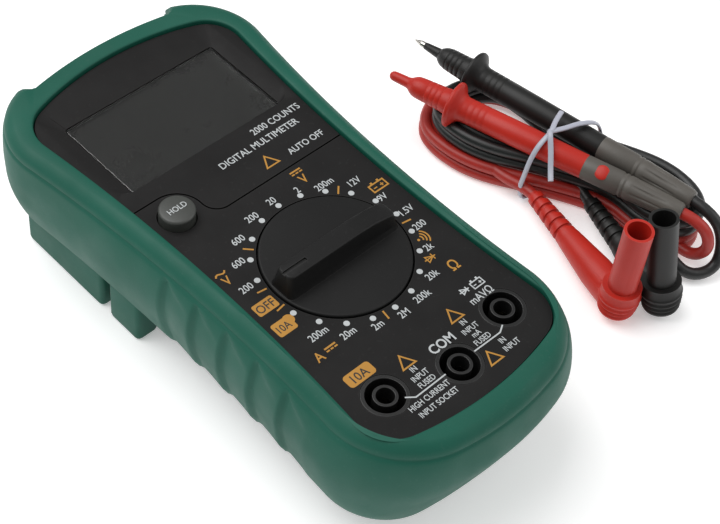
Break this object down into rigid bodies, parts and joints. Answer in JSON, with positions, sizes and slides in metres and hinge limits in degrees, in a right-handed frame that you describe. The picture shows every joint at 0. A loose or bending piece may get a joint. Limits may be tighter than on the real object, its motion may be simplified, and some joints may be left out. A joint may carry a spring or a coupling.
{
  "type": "digital multimeter",
  "caption": "Hand-held digital multimeter in a rubber holster with rotary range switch, hold button, shrouded sockets, fold-out stand and tied test leads",
  "frame": {"origin": "centre of the meter's bounding box on the surface it rests on, test leads not counted", "axes": "+Z out of the face, +Y from the sockets to the display, +X to the right of the reader"},
  "size_m": [0.1446, 0.1474, 0.0465],
  "materials": {
    "holster_rubber": "satin moulded rubber",
    "face_plastic": "fine matt",
    "case_plastic": "fine texture",
    "window_clear": "clear hard coat",
    "lcd_glass": "grey-green cell",
    "white_plastic": "plain",
    "elastomer": "soft",
    "black_plastic": "plain",
    "socket_plastic": "smooth",
    "plated_metal": "nickel plated",
    "board_green": "solder resist",
    "copper_wire": "bare wire",
    "trimmer_blue": "plain",
    "fuse_glass": "clear",
    "brass": "stamped",
    "battery_jacket": "printed sleeve",
    "red_cable": "soft cable jacket",
    "black_cable": "soft cable jacket",
    "steel": "zinc plated",
    "foot_rubber": "soft",
    "knob_plastic": "fine spark texture",
    "button_grey": "satin",
    "red_lead_plastic": "satin moulding",
    "black_lead_plastic": "satin moulding",
    "grey_sleeve": "soft-touch sleeve",
    "tie_plastic": "plastic-coated wire"
  },
  "bodies": {
    "case": {"holster": "holster_rubber", "front_cover": "face_plastic", "rear_cover": "case_plastic", "display_plate": "face_plastic", "display_window": "window_clear", "lcd_cell": "lcd_glass", "lcd_holder": "white_plastic", "contact_strip": "elastomer", "hold_switch": "black_plastic", "socket_sleeve_ten_amp": "socket_plastic", "socket_contact_ten_amp": "plated_metal", "socket_sleeve_common": "socket_plastic", "socket_contact_common": "plated_metal", "socket_sleeve_volt_ohm": "socket_plastic", "socket_contact_volt_ohm": "plated_metal", "main_board": "board_green", "control_chip": "black_plastic", "buzzer": "black_plastic", "current_shunt": "copper_wire", "calibration_trimmer": "trimmer_blue", "fuse_tubes": "fuse_glass", "fuse_caps": "plated_metal", "fuse_clips": "brass", "battery": "battery_jacket", "battery_studs": "plated_metal", "battery_snap": "black_plastic", "battery_leads": "red_cable", "battery_door": "case_plastic", "battery_door_screw": "steel", "case_screws": "steel", "stand_pin": "steel", "rear_feet": "foot_rubber"},
    "knob": {"range_knob": "knob_plastic", "switch_rotor": "white_plastic", "detent_balls": "steel", "detent_springs": "steel", "switch_wipers": "brass"},
    "hold": {"hold_button": "button_grey", "hold_plunger": "white_plastic"},
    "stand": {"tilt_stand": "case_plastic"},
    "leads": {"red_probe_handle": "red_lead_plastic", "red_probe_needle": "plated_metal", "red_probe_sleeve": "grey_sleeve", "black_probe_handle": "black_lead_plastic", "black_probe_needle": "plated_metal", "black_probe_sleeve": "grey_sleeve", "red_plug": "red_lead_plastic", "red_plug_pin": "plated_metal", "black_plug": "black_lead_plastic", "black_plug_pin": "plated_metal", "red_cord_hank": "red_cable", "black_cord_hank": "black_cable", "red_cord_end": "red_cable", "black_cord_end": "black_cable", "twist_tie": "tie_plastic"}
  },
  "joints": [
    {"name": "range_turn", "type": "hinge", "parent": "case", "child": "knob", "pos_m": [0, -0.015, 0.036], "axis": [0, 0, 1], "continuous": true},
    {"name": "hold_press", "type": "slide", "parent": "case", "child": "hold", "axis": [0, 0, -1], "range_m": [0, 0.001], "stiffness_N_per_m": 1500, "springref_m": -0.0003},
    {"name": "stand_fold", "type": "hinge", "parent": "case", "child": "stand", "pos_m": [0, 0.05, 0.0033], "axis": [1, 0, 0], "range_deg": [0, 65]},
    {"name": "leads_lift", "type": "slide", "parent": "case", "child": "leads", "axis": [0, 0, 1], "range_m": [0, 0.15]}
  ]
}
